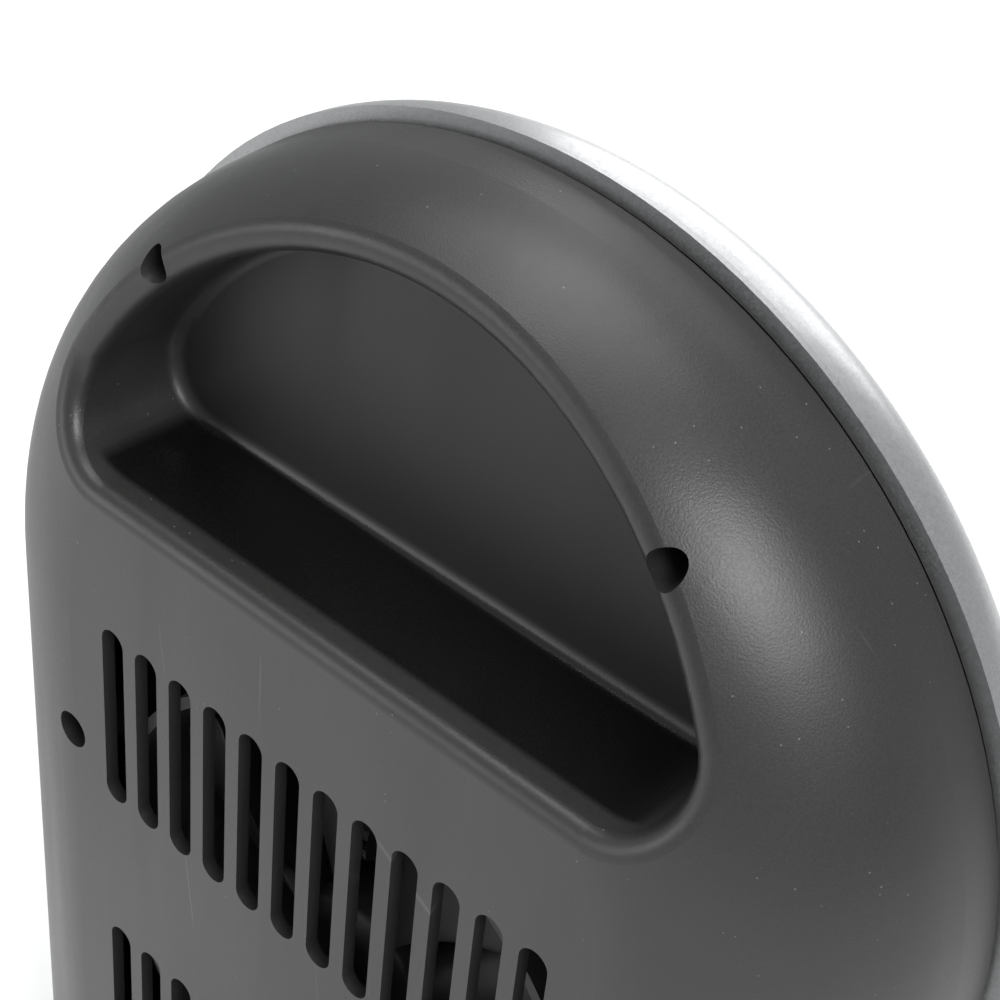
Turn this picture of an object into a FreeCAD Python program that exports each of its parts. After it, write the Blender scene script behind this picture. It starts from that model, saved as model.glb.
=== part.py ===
import FreeCAD, Part
import math
import os
import re
import Sketcher
from FreeCAD import Placement, Rotation, Vector

# Compact arch-topped fan heater with a ceramic element.
# Frame: X across, Y from the front (-Y) to the back (+Y), Z up, origin on the floor
# under the middle of the base. "Depth" is measured forwards from the flat back plane.

sizes = {
    # overall form
    "back_plane": 46,          # Y of the flat back
    "arch_height": 197.5,      # Z of the centre of the arched top
    "body_floor": 14,          # Z of the underside of the body
    "body_depth": 92,          # flat back to front face
    # rear casing
    "casing_half": 112,
    "casing_depth": 49,
    "casing_wall": 3,
    "flank_taper": 3.5,        # how much narrower each flank is at the back
    "edge_round": 43,          # round between the back and the flanks
    "spigot_depth": 52,
    "spigot_wall": 2,
    # handle recess
    "recess_radius": 80,
    "recess_centre": 216.3,
    "recess_floor": 234,
    "recess_depth": 31,
    "recess_corner": 13,
    "recess_wall": 6,
    "recess_mouth": 3.5,
    "recess_foot": 3,
    # intake slots
    "slot_pitch": 10,
    "slot_width": 6.4,
    "slot_height": 45.2,
    "slot_top": 203,
    "slot_row_pitch": 84.1,
    "slot_count": 12,
    # screws that hold the casing to the front
    "counterbore": 4.2,        # radius of the sunk bores
    "top_counterbore": 3.3,
    "tower_radius": 6.4,
    "tower_depth": 40,
    "tower_floor": 2.5,
    "boss_radius": 4.6,
    "boss_gap": 0.3,
    "screw_radius": 1.9,
    "screw_head": 3,
    "screw_head_depth": 2.6,
    "screw_length": 22,
    "screw_clearance": 0.06,
    "top_screw_x": 58,
    "top_screw_z": 277.6,
    "mid_screw_x": 69.2,
    "mid_screw_z": 168,
    "low_screw_x": 69.2,
    "low_screw_z": 38,
    # silver front shell
    "shell_half": 114.7,
    "shell_wall": 3.5,
    "shell_start": 50.4,
    "shell_bevel": 32,
    "shell_round": 20,
    "shell_fit": 0.4,
    "opening_half": 76,
    "opening_floor": 26,
    # front grille
    "grille_lip": 3.5,
    "grille_plate": 3,
    "grille_proud": 0.5,
    "louvre_half": 52,
    "louvre_floor": 84,
    "louvre_arch": 184,
    "louvre_pitch": 8,
    "louvre_gap": 5,
    "louvre_count": 19,
    "mullion_width": 4,
    # fan, motor and duct
    "fan_height": 138.5,
    "fan_radius": 62.4,
    "fan_clearance": 1.6,
    "fan_start": 14,
    "fan_depth": 20,
    "hub_radius": 17,
    "blade_count": 7,
    "blade_width": 25,
    "blade_thickness": 1.8,
    "blade_pitch": 34,
    "duct_start": 9,
    "duct_wall": 2.4,
    "duct_flange": 2.5,
    "motor_radius": 17,
    "motor_start": 37,
    "motor_length": 21,
    "motor_wall": 1.2,
    "motor_flange": 23,
    "shaft_radius": 1.6,
    "shaft_start": 15,
    "shaft_end": 60,
    "shaft_clearance": 0.05,
    "bush_radius": 4,
    "bush_length": 3,
    "armature_radius": 12,
    "armature_length": 13,
    "magnet_radius": 15.7,
    "magnet_inner": 12.8,
    "holder_start": 42,
    "holder_length": 8,
    "spoke_width": 6,
    "small_screw": 1.2,
    # ceramic element
    "frame_half": 62,
    "frame_start": 64,
    "frame_depth": 17,
    "core_half": 52,
    "core_depth": 14,
    "core_play": 0.3,
    "bar_count": 5,
    "bar_width": 4,
    "fin_pitch": 3,
    "fin_thickness": 0.35,
    "terminal_pitch": 18,
    "terminal_width": 6.3,
    "terminal_thickness": 0.8,
    "terminal_length": 16,
    "mount_screw": 57,         # half the square of element screws
    "mount_screw_radius": 1.7,
    # controls
    "control_x": 40,
    "control_z": 54,
    "knob_radius": 15,
    "knob_base": 3.5,
    "knob_depth": 11.5,
    "knob_bar": 7,
    "knob_gap": 0.4,
    "spindle_radius": 3,
    "control_body": 26,
    "control_body_depth": 17,
    "lens_radius": 4,
    "lamp_length": 9,
    # base
    "base_half": 110,
    "base_depth": 120,
    "base_thickness": 10,
    "base_corner": 22,
    "foot_radius": 9,
    "foot_height": 5,
    "foot_inset": 22,
    "base_underside": 4,
    "base_screw_x": 66,
    "base_screw_y": 20,
    "base_boss_height": 14,
    # tip switch, terminals and gland
    "tip_x": 40,
    "tip_y": 22,
    "tip_radius": 3,
    "tip_clearance": 0.5,
    "tip_rest": 0.3,
    "tip_body": 22,
    "block_x": -10,
    "block_length": 40,
    "block_width": 18,
    "block_height": 16,
    "gland_x": -48,
    "gland_z": 34,
    "gland_radius": 7,
    "gland_bore": 3.6,
    "lead_radius": 1.3,
}

doc = FreeCAD.newDocument("fan_heater")
sheet = doc.addObject("Spreadsheet::Sheet", "dims")
for row, (alias, value) in enumerate(sizes.items(), start=1):
    sheet.set(f"A{row}", alias)
    sheet.set(f"B{row}", str(value))
    sheet.setAlias(f"B{row}", alias)
doc.recompute()

alias_pattern = re.compile(r"\b(" + "|".join(sorted(sizes, key=len, reverse=True)) + r")\b")
nodes = []


def val(alias):
    """The sheet's value as a number."""
    return float(sheet.get(alias))


def bind(thing, prop, text):
    """Bind a property to an expression written with the sheet's aliases."""
    thing.setExpression(prop, alias_pattern.sub(r"dims.\1", str(text)))


def name_node(thing, label):
    """Make a finished object a sub-part of its own."""
    thing.Label = label
    nodes.append(thing)
    return thing


def place(thing, x, y, z, turn=None):
    thing.Placement = Placement(Vector(0, 0, 0), turn or Rotation())
    bind(thing, "Placement.Base.x", x)
    bind(thing, "Placement.Base.y", y)
    bind(thing, "Placement.Base.z", z)
    return thing


def block(name, wide, long, high, x, y, z):
    """A box centred on x and y, standing on z."""
    made = doc.addObject("Part::Box", name)
    bind(made, "Length", wide)
    bind(made, "Width", long)
    bind(made, "Height", high)
    return place(made, f"({x}) - ({wide}) / 2", f"({y}) - ({long}) / 2", z)


def slab(name, wide, high, deep, x, z, depth):
    """A box centred on x, standing on z, whose back face is at the given depth."""
    return block(name, wide, deep, high, x, f"back_plane - ({depth}) - ({deep}) / 2", z)


def disc(name, radius, length, x, z, depth):
    """A cylinder that runs forwards from the given depth."""
    made = doc.addObject("Part::Cylinder", name)
    bind(made, "Radius", radius)
    bind(made, "Height", length)
    return place(made, x, f"back_plane - ({depth})", z, Rotation(Vector(1, 0, 0), 90))


def post(name, radius, length, x, y, z):
    """A cylinder that stands upright."""
    made = doc.addObject("Part::Cylinder", name)
    bind(made, "Radius", radius)
    bind(made, "Height", length)
    return place(made, x, y, z)


def fuse(name, *parts):
    made = doc.addObject("Part::MultiFuse", name)
    made.Shapes = list(parts)
    return made


def cut(name, base, *tools):
    made = doc.addObject("Part::Cut", name)
    made.Base = base
    made.Tool = tools[0] if len(tools) == 1 else fuse(name + "_tools", *tools)
    return made


def common(name, first, second):
    made = doc.addObject("Part::Common", name)
    made.Base = first
    made.Tool = second
    return made


def group(name, *parts):
    """Several separate solids kept as one sub-part."""
    made = doc.addObject("Part::Compound", name)
    made.Links = list(parts)
    return made


def sketch_at(body, name, depth):
    """A sketch parallel to the back plane, at a depth."""
    sketch = body.newObject("Sketcher::SketchObject", name)
    plane = [item for item in body.Origin.OriginFeatures if item.Role == "XZ_Plane"][0]
    sketch.AttachmentSupport = [(plane, "")]
    sketch.MapMode = "FlatFace"
    bind(sketch, "AttachmentOffset.Base.z", f"({depth}) - back_plane")
    return sketch


def size_constraint(sketch, kind, args, text):
    """A driving length whose value comes from the sheet, starting from the drawn one."""
    if kind == "Radius":
        drawn = sketch.Geometry[args[0]].Radius
    else:
        run = sketch.getPoint(*args[2:]) - sketch.getPoint(*args[:2])
        drawn = run.y if kind == "DistanceY" else run.x
    index = sketch.addConstraint(Sketcher.Constraint(kind, *args, drawn))
    label = f"size{index}"
    sketch.renameConstraint(index, label)
    bind(sketch, f"Constraints.{label}", text)


def arch_sketch(body, name, depth, half, centre, floor):
    """Straight sides, a round top about `centre` and a level bottom at `floor`."""
    sketch = sketch_at(body, name, depth)
    top = Part.Circle(Vector(0, 40, 0), Vector(0, 0, 1), 10)
    sketch.addGeometry(Part.ArcOfCircle(top, 0, math.pi), False)
    sketch.addGeometry(Part.LineSegment(Vector(10, 40, 0), Vector(10, 0, 0)), False)
    sketch.addGeometry(Part.LineSegment(Vector(10, 0, 0), Vector(-10, 0, 0)), False)
    sketch.addGeometry(Part.LineSegment(Vector(-10, 0, 0), Vector(-10, 40, 0)), False)
    for ends in ((0, 1, 1, 1), (0, 2, 3, 2), (1, 2, 2, 1), (2, 2, 3, 1)):
        sketch.addConstraint(Sketcher.Constraint("Coincident", *ends))
    for end in (1, 2):
        sketch.addConstraint(Sketcher.Constraint("Horizontal", 0, end, 0, 3))
    sketch.addConstraint(Sketcher.Constraint("Vertical", 1))
    sketch.addConstraint(Sketcher.Constraint("Horizontal", 2))
    sketch.addConstraint(Sketcher.Constraint("Vertical", 3))
    sketch.addConstraint(Sketcher.Constraint("PointOnObject", 0, 3, -2))
    size_constraint(sketch, "Radius", (0,), half)
    size_constraint(sketch, "DistanceY", (-1, 1, 0, 3), centre)
    size_constraint(sketch, "DistanceY", (-1, 1, 2, 1), floor)
    return sketch


def new_body(name):
    return doc.addObject("PartDesign::Body", name)


def pad(body, name, sketch, length):
    """Grow a sketch forwards."""
    made = body.newObject("PartDesign::Pad", name)
    made.Profile = sketch
    bind(made, "Length", length)
    sketch.Visibility = False
    return made


def arch_block(name, depth, length, half, centre, floor):
    body = new_body(name)
    pad(body, name + "_pad", arch_sketch(body, name + "_outline", depth, half, centre, floor), length)
    return body


def edges_where(shape, test):
    return [f"Edge{i}" for i, edge in enumerate(shape.Edges, start=1) if test(edge)]


def lies_at(edge, y):
    box = edge.BoundBox
    return abs(box.YMin - y) < 0.01 and abs(box.YMax - y) < 0.01


def fillet(body, name, radius, test):
    """Round the edges of the body's last feature that pass a test."""
    doc.recompute()
    base = body.Tip
    made = body.newObject("PartDesign::Fillet", name)
    made.Base = (base, edges_where(base.Shape, test))
    bind(made, "Radius", radius)
    return made


def tapered_block(name, start, end, half_start, half_end, floor, radius):
    """An arched block that widens forwards, with its back edge rounded."""
    body = new_body(name)
    back = arch_sketch(body, name + "_back", start, half_start, "arch_height", floor)
    front = arch_sketch(body, name + "_front", end, half_end, "arch_height", floor)
    loft = body.newObject("PartDesign::AdditiveLoft", name + "_loft")
    loft.Profile = back
    loft.Sections = [front]
    loft.Ruled = True
    doc.recompute()
    y = max(vertex.Y for vertex in loft.Shape.Vertexes)
    level = min(vertex.Z for vertex in loft.Shape.Vertexes)
    fillet(body, name + "_round", radius,
           lambda edge: lies_at(edge, y) and edge.BoundBox.ZMax > level + 1)
    return body


def recess_block(name, depth, floor, radius, corner, foot):
    """The D-shaped hand hollow as a solid, its inner end rounded."""
    body = new_body(name)
    sketch = sketch_at(body, name + "_outline", "-1")
    round_top = Part.Circle(Vector(0, 216, 0), Vector(0, 0, 1), 80)
    sketch.addGeometry(Part.ArcOfCircle(round_top, 0.2, math.pi - 0.2), False)
    sketch.addGeometry(Part.LineSegment(Vector(-78, 234, 0), Vector(78, 234, 0)), False)
    sketch.addConstraint(Sketcher.Constraint("Coincident", 0, 2, 1, 1))
    sketch.addConstraint(Sketcher.Constraint("Coincident", 0, 1, 1, 2))
    sketch.addConstraint(Sketcher.Constraint("Horizontal", 1))
    sketch.addConstraint(Sketcher.Constraint("PointOnObject", 0, 3, -2))
    size_constraint(sketch, "Radius", (0,), radius)
    size_constraint(sketch, "DistanceY", (-1, 1, 0, 3), "recess_centre")
    size_constraint(sketch, "DistanceY", (-1, 1, 1, 1), floor)
    pad(body, name + "_pad", sketch, f"({depth}) + 1")
    fillet(body, name + "_corners", corner,
           lambda edge: edge.BoundBox.YLength > 5)
    doc.recompute()
    inner = min(vertex.Y for vertex in body.Tip.Shape.Vertexes)
    fillet(body, name + "_foot", foot, lambda edge: lies_at(edge, inner))
    return body


def both_sides(x):
    return (f"{x}", f"-({x})")


# ---- rear casing -------------------------------------------------------------

def make_rear_casing():
    outer = tapered_block("casing_outer", "0", "casing_depth", "casing_half - flank_taper",
                          "casing_half", "body_floor", "edge_round")
    inner = tapered_block("casing_inner", "casing_wall", "casing_depth + 1",
                          "casing_half - flank_taper - casing_wall", "casing_half - casing_wall",
                          "body_floor + casing_wall", "edge_round - casing_wall")
    hollow = recess_block("handle_hollow", "recess_depth", "recess_floor", "recess_radius",
                          "recess_corner", "recess_foot")
    skin = recess_block("handle_skin", "recess_depth + casing_wall", "recess_floor - recess_wall",
                        "recess_radius + recess_wall", "recess_corner + recess_wall",
                        "recess_foot + casing_wall")
    scooped = cut("casing_scooped", outer, hollow)
    doc.recompute()
    mouth = doc.addObject("Part::Fillet", "casing_mouth")
    mouth.Base = scooped
    rim = []
    y_back = val("back_plane")
    for i, edge in enumerate(scooped.Shape.Edges, start=1):
        box = edge.BoundBox
        near_back = box.YMin > y_back - 15
        in_hollow = box.ZMin > val("recess_floor") - 1 and box.ZMax < val("top_screw_z") + 20
        across = box.XMax < val("recess_radius") + 1 and box.XMin > -val("recess_radius") - 1
        if near_back and in_hollow and across and touches(hollow.Shape, edge):
            rim.append((i, val("recess_mouth"), val("recess_mouth")))
    mouth.Edges = rim
    cavity = cut("casing_cavity", inner, skin)
    shell = cut("casing_shell", mouth, cavity)
    spigot = cut("casing_spigot",
                 arch_block("spigot_outer", "casing_depth - 6", "spigot_depth - casing_depth + 6",
                            "shell_half - shell_wall - shell_fit", "arch_height",
                            "body_floor + shell_wall + shell_fit"),
                 arch_block("spigot_inner", "casing_depth - 7", "spigot_depth - casing_depth + 8",
                            "shell_half - shell_wall - shell_fit - spigot_wall", "arch_height",
                            "body_floor + shell_wall + shell_fit + spigot_wall"))
    towers = []
    bores = []
    for part, (x_name, z_name) in enumerate((("top_screw_x", "top_screw_z"),
                                             ("mid_screw_x", "mid_screw_z"),
                                             ("low_screw_x", "low_screw_z"))):
        for side, x in enumerate(both_sides(x_name)):
            tag = f"{part}{side}"
            towers.append(disc("tower" + tag, "tower_radius", "tower_depth", x, z_name, "0"))
            bore = "top_counterbore" if part == 0 else "counterbore"
            bores.append(disc("bore" + tag, bore, "tower_depth - tower_floor + 1", x, z_name, "-1"))
            bores.append(disc("through" + tag, "screw_radius + screw_clearance", "tower_floor + 2", x, z_name,
                              "tower_depth - tower_floor - 1"))
    trimmed = common("towers_trimmed", fuse("towers", *towers), mouth)
    bosses = []
    holes = []
    for side, x in enumerate(both_sides("base_screw_x")):
        bosses.append(post(f"rear_base_boss{side}", "boss_radius", "base_boss_height", x, "base_screw_y",
                           "body_floor"))
        holes.append(post(f"rear_base_hole{side}", "screw_radius + screw_clearance", "base_boss_height + 1", x,
                          "base_screw_y", "body_floor - 1"))
    holes.append(post("casing_tip_hole", "tip_radius + tip_clearance", "casing_wall + 2", "tip_x", "tip_y",
                      "body_floor - 1"))
    holes.append(disc("casing_gland_hole", "gland_radius", "casing_wall + 2", "gland_x", "gland_z", "-1"))
    whole = fuse("casing_whole", shell, spigot, trimmed, *bosses)
    drilled = cut("casing_drilled", whole, *bores, *holes)
    doc.recompute()

    body = new_body("rear_casing")
    body.BaseFeature = drilled
    doc.recompute()
    slot = sketch_at(body, "slot_outline", "0")
    half = val("slot_width") / 2
    low = val("slot_top") - val("slot_height") - val("slot_row_pitch") + half
    high = val("slot_top") - val("slot_row_pitch") - half
    left = -(val("slot_count") - 1) * val("slot_pitch") / 2
    slot.addGeometry(Part.ArcOfCircle(Part.Circle(Vector(left, high, 0), Vector(0, 0, 1), half), 0, math.pi), False)
    slot.addGeometry(Part.ArcOfCircle(Part.Circle(Vector(left, low, 0), Vector(0, 0, 1), half),
                                      math.pi, 2 * math.pi), False)
    slot.addGeometry(Part.LineSegment(Vector(left - half, high, 0), Vector(left - half, low, 0)), False)
    slot.addGeometry(Part.LineSegment(Vector(left + half, low, 0), Vector(left + half, high, 0)), False)
    for ends in ((0, 2, 2, 1), (2, 2, 1, 1), (1, 2, 3, 1), (3, 2, 0, 1)):
        slot.addConstraint(Sketcher.Constraint("Coincident", *ends))
    for arc, end in ((0, 1), (0, 2), (1, 1), (1, 2)):
        slot.addConstraint(Sketcher.Constraint("Horizontal", arc, end, arc, 3))
    slot.addConstraint(Sketcher.Constraint("Vertical", 2))
    slot.addConstraint(Sketcher.Constraint("Vertical", 3))
    size_constraint(slot, "Radius", (0,), "slot_width / 2")
    size_constraint(slot, "DistanceY", (1, 3, 0, 3), "slot_height - slot_width")
    size_constraint(slot, "DistanceY", (-1, 1, 0, 3), "slot_top - slot_row_pitch - slot_width / 2")
    size_constraint(slot, "DistanceX", (0, 3, -1, 1), "(slot_count - 1) * slot_pitch / 2")
    cutter = body.newObject("PartDesign::Pocket", "slot_pocket")
    cutter.Profile = slot
    cutter.Midplane = True
    bind(cutter, "Length", "4 * casing_wall")
    grid = body.newObject("PartDesign::MultiTransform", "slot_grid")
    grid.Originals = [cutter]
    across_row = body.newObject("PartDesign::LinearPattern", "slot_row")
    across_row.Direction = (slot, ["H_Axis"])
    bind(across_row, "Length", "(slot_count - 1) * slot_pitch")
    across_row.Occurrences = int(val("slot_count"))
    rows = body.newObject("PartDesign::LinearPattern", "slot_rows")
    rows.Direction = (slot, ["V_Axis"])
    bind(rows, "Length", "slot_row_pitch")
    rows.Occurrences = 2
    grid.Transformations = [across_row, rows]
    body.Tip = grid
    return name_node(body, "rear_casing")


def touches(shape, edge):
    """True when the middle of an edge lies on the shape's skin."""
    middle = edge.valueAt((edge.FirstParameter + edge.LastParameter) / 2)
    return shape.distToShape(Part.Vertex(middle))[0] < 0.01


# ---- silver front shell --------------------------------------------------------

def shell_block(name, start, end, half, floor, bevel, radius):
    """An arched block whose front edge is bevelled, with the bevel's outer edge rounded."""
    body = arch_block(name, start, f"({end}) - ({start})", half, "arch_height", floor)
    doc.recompute()
    y = min(vertex.Y for vertex in body.Shape.Vertexes)
    level = min(vertex.Z for vertex in body.Shape.Vertexes)
    edges = edges_where(body.Shape, lambda edge: lies_at(edge, y) and edge.BoundBox.ZMax > level + 1)
    slope = body.newObject("PartDesign::Chamfer", name + "_bevel")
    slope.Base = (body.Group[-2], edges)
    bind(slope, "Size", bevel)
    doc.recompute()
    y_bevel = y + slope.Size.Value
    fillet(body, name + "_round", radius,
           lambda edge: lies_at(edge, y_bevel) and edge.BoundBox.ZMax > level + 1)
    return body


def make_front_shell():
    outer = shell_block("shell_outer", "shell_start", "body_depth", "shell_half", "body_floor",
                        "shell_bevel", "shell_round")
    inner = shell_block("shell_inner", "shell_start - 1", "body_depth - shell_wall",
                        "shell_half - shell_wall", "body_floor + shell_wall",
                        "shell_bevel - shell_wall * (2 - sqrt(2))", "shell_round - shell_wall")
    window = arch_block("shell_window", "body_depth - 2 * shell_wall", "3 * shell_wall", "opening_half",
                        "arch_height", "opening_floor")
    hollow = cut("shell_hollow", outer, inner)
    bosses = []
    holes = []
    for side, x in enumerate(both_sides("top_screw_x")):
        bosses.append(disc(f"shell_boss{side}", "boss_radius", "body_depth - tower_depth - boss_gap", x,
                           "top_screw_z", "tower_depth + boss_gap"))
        holes.append(disc(f"shell_pilot{side}", "screw_radius + screw_clearance", "screw_length", x,
                          "top_screw_z", "tower_depth"))
    for side, x in enumerate(both_sides("base_screw_x")):
        bosses.append(post(f"shell_base_boss{side}", "boss_radius", "base_boss_height", x,
                           "-base_screw_y", "body_floor"))
        holes.append(post(f"shell_base_hole{side}", "screw_radius + screw_clearance", "base_boss_height + 1", x,
                          "-base_screw_y", "body_floor - 1"))
    trimmed = common("shell_bosses", fuse("shell_bosses_all", *bosses), outer)
    whole = fuse("shell_whole", cut("shell_open", hollow, window), trimmed)
    return name_node(cut("front_shell", whole, *holes), "front_shell")


# ---- front grille ----------------------------------------------------------------

def make_front_grille():
    lip_front = "body_depth - shell_wall - 2 * shell_fit"
    lip = arch_block("grille_lip_block", f"{lip_front} - grille_plate", "grille_plate",
                     "opening_half + grille_lip", "arch_height", "opening_floor - grille_lip")
    face = arch_block("grille_face", f"{lip_front} - 0.5", f"body_depth - grille_proud - ({lip_front}) + 0.5",
                      "opening_half - shell_fit", "arch_height", "opening_floor + shell_fit")
    bosses = []
    holes = []
    for name in ("mid_screw", "low_screw"):
        for side, x in enumerate(both_sides(name + "_x")):
            bosses.append(disc(f"grille_{name}{side}", "boss_radius",
                               f"{lip_front} - tower_depth - boss_gap - 1", x, name + "_z",
                               "tower_depth + boss_gap"))
            holes.append(disc(f"grille_{name}_pilot{side}", "screw_radius + screw_clearance", "screw_length", x,
                              name + "_z", "tower_depth"))
    frame_front = "frame_start + frame_depth"
    for side, x in enumerate(both_sides("mount_screw")):
        for end, z in enumerate(("fan_height - mount_screw", "fan_height + mount_screw")):
            bosses.append(disc(f"frame_post{side}{end}", "boss_radius - 0.6", f"{lip_front} - ({frame_front})", x,
                               z, frame_front))
            holes.append(disc(f"frame_pilot{side}{end}", "mount_screw_radius + screw_clearance",
                              f"{lip_front} - ({frame_front})", x, z, f"{frame_front} - 1"))
    window = arch_block("louvre_window", "body_depth - 4 * grille_plate", "6 * grille_plate", "louvre_half",
                        "louvre_arch", "louvre_floor")
    bars = []
    for i in range(int(val("louvre_count"))):
        for side in (-1, 1):
            bars.append(slab(f"louvre_gap{i}{side}", "louvre_half", "louvre_gap", "6 * grille_plate",
                             f"{side} * (louvre_half + mullion_width) / 2", f"louvre_floor + {i} * louvre_pitch",
                             "body_depth - 4 * grille_plate"))
    gaps = common("louvre_gaps", fuse("louvre_bars", *bars), window)
    for side, x in enumerate(both_sides("control_x")):
        holes.append(disc(f"spindle_hole{side}", "spindle_radius + tip_clearance", "4 * grille_plate", x,
                          "control_z", "body_depth - 3 * grille_plate"))
    holes.append(disc("lens_hole", "lens_radius + screw_clearance", "4 * grille_plate", "0", "control_z",
                      "body_depth - 3 * grille_plate"))
    whole = fuse("grille_whole", cut("grille_open", fuse("grille_solid", lip, face), gaps), *bosses)
    return name_node(cut("front_grille", whole, *holes), "front_grille")


# ---- base, feet and screws -------------------------------------------------------

def make_base():
    plate = block("base_block", "2 * base_half", "base_depth", "base_thickness", "0", "0", "base_underside")
    doc.recompute()
    rounded = doc.addObject("Part::Fillet", "base_rounded")
    rounded.Base = plate
    corner = val("base_corner")
    rounded.Edges = [(i, corner, corner) for i, edge in enumerate(plate.Shape.Edges, start=1)
                     if edge.BoundBox.ZLength > 1]
    doc.recompute()
    soft = doc.addObject("Part::Fillet", "base_soft")
    soft.Base = rounded
    level = val("base_underside") + val("base_thickness")
    bevel = val("base_thickness") * 0.3
    soft.Edges = [(i, bevel, bevel) for i, edge in enumerate(rounded.Shape.Edges, start=1)
                  if edge.BoundBox.ZMin > level - 0.01]
    feet = []
    seats = []
    screws = []
    for side, x in enumerate(both_sides("base_half - foot_inset")):
        for end, y in enumerate(both_sides("base_depth / 2 - foot_inset")):
            feet.append(post(f"foot{side}{end}", "foot_radius", "foot_height", x, y, "0"))
            seats.append(post(f"foot_seat{side}{end}", "foot_radius + shell_fit",
                              "foot_height - base_underside + 1", x, y, "base_underside - 1"))
    for side, x in enumerate(both_sides("base_screw_x")):
        for end, y in enumerate(both_sides("base_screw_y")):
            seats.append(post(f"base_sink{side}{end}", "counterbore", "screw_head_depth + 1", x, y,
                              "base_underside - 1"))
            seats.append(post(f"base_pass{side}{end}", "screw_radius + screw_clearance", "base_thickness + 2", x,
                              y, "base_underside - 1"))
            head = post(f"base_head{side}{end}", "screw_head", "screw_head_depth - 0.4", x, y,
                        "base_underside + 0.4")
            shank = post(f"base_shank{side}{end}", "screw_radius", "screw_length - screw_head_depth", x, y,
                         "base_underside + screw_head_depth")
            screws.append(fuse(f"base_screw{side}{end}", head, shank))
    seats.append(post("base_tip_hole", "tip_radius + tip_clearance", "base_thickness + 2", "tip_x", "tip_y",
                      "base_underside - 1"))
    name_node(cut("base_plate", soft, *seats), "base_plate")
    name_node(group("rubber_feet", *feet), "rubber_feet")
    name_node(group("base_screws", *screws), "base_screws")


def make_casing_screws():
    screws = []
    for name in ("top_screw", "mid_screw", "low_screw"):
        for side, x in enumerate(both_sides(name + "_x")):
            head = disc(f"{name}_head{side}", "screw_head", "screw_head_depth", x, name + "_z",
                        "tower_depth - tower_floor - screw_head_depth")
            shank = disc(f"{name}_shank{side}", "screw_radius", "screw_length - 4", x, name + "_z",
                         "tower_depth - tower_floor - 0.5")
            screws.append(fuse(f"{name}{side}", head, shank))
    name_node(group("casing_screws", *screws), "casing_screws")


# ---- fan, motor and duct -------------------------------------------------------------

def axial(name, radius, length, depth):
    """A disc on the fan's axis."""
    return disc(name, radius, length, "0", "fan_height", depth)


def make_fan():
    hub = axial("fan_hub", "hub_radius", "fan_depth - 4", "fan_start")
    nose = axial("fan_nose", "hub_radius - 4", "2", "fan_start - 2")
    reach = axial("fan_reach", "fan_radius", "fan_depth", "fan_start")
    core = axial("fan_core", "hub_radius - 1", "fan_depth + 2", "fan_start - 1")
    blades = []
    count = int(val("blade_count"))
    for i in range(count):
        blade = doc.addObject("Part::Box", f"blade{i}")
        bind(blade, "Length", "blade_thickness")
        bind(blade, "Width", "blade_width")
        bind(blade, "Height", "fan_radius + 5")
        lift = Placement(Vector(-val("blade_thickness") / 2, -val("blade_width") / 2, 0), Rotation())
        pitch = Placement(Vector(0, 0, 0), Rotation(Vector(0, 0, 1), val("blade_pitch")))
        around = Placement(Vector(0, 0, 0), Rotation(Vector(0, 1, 0), 360 * i / count))
        middle = Vector(0, val("back_plane") - val("fan_start") - val("fan_depth") / 2, val("fan_height"))
        blade.Placement = Placement(middle, Rotation()).multiply(around).multiply(pitch).multiply(lift)
        blades.append(blade)
    swept = common("fan_blades", fuse("fan_blades_all", *blades), cut("fan_ring", reach, core))
    bore = axial("fan_bore", "shaft_radius + 0.02", "fan_depth + 4", "shaft_start")
    name_node(cut("fan_rotor", fuse("fan_whole", hub, nose, swept), bore), "fan_rotor")
    name_node(axial("motor_shaft", "shaft_radius", "shaft_end - shaft_start", "shaft_start"), "motor_shaft")
    name_node(cut("motor_armature",
                  axial("armature_core", "armature_radius", "armature_length", "motor_start + 4"),
                  axial("armature_bore", "shaft_radius + 0.02", "armature_length + 2", "motor_start + 3")),
              "motor_armature")


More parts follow.
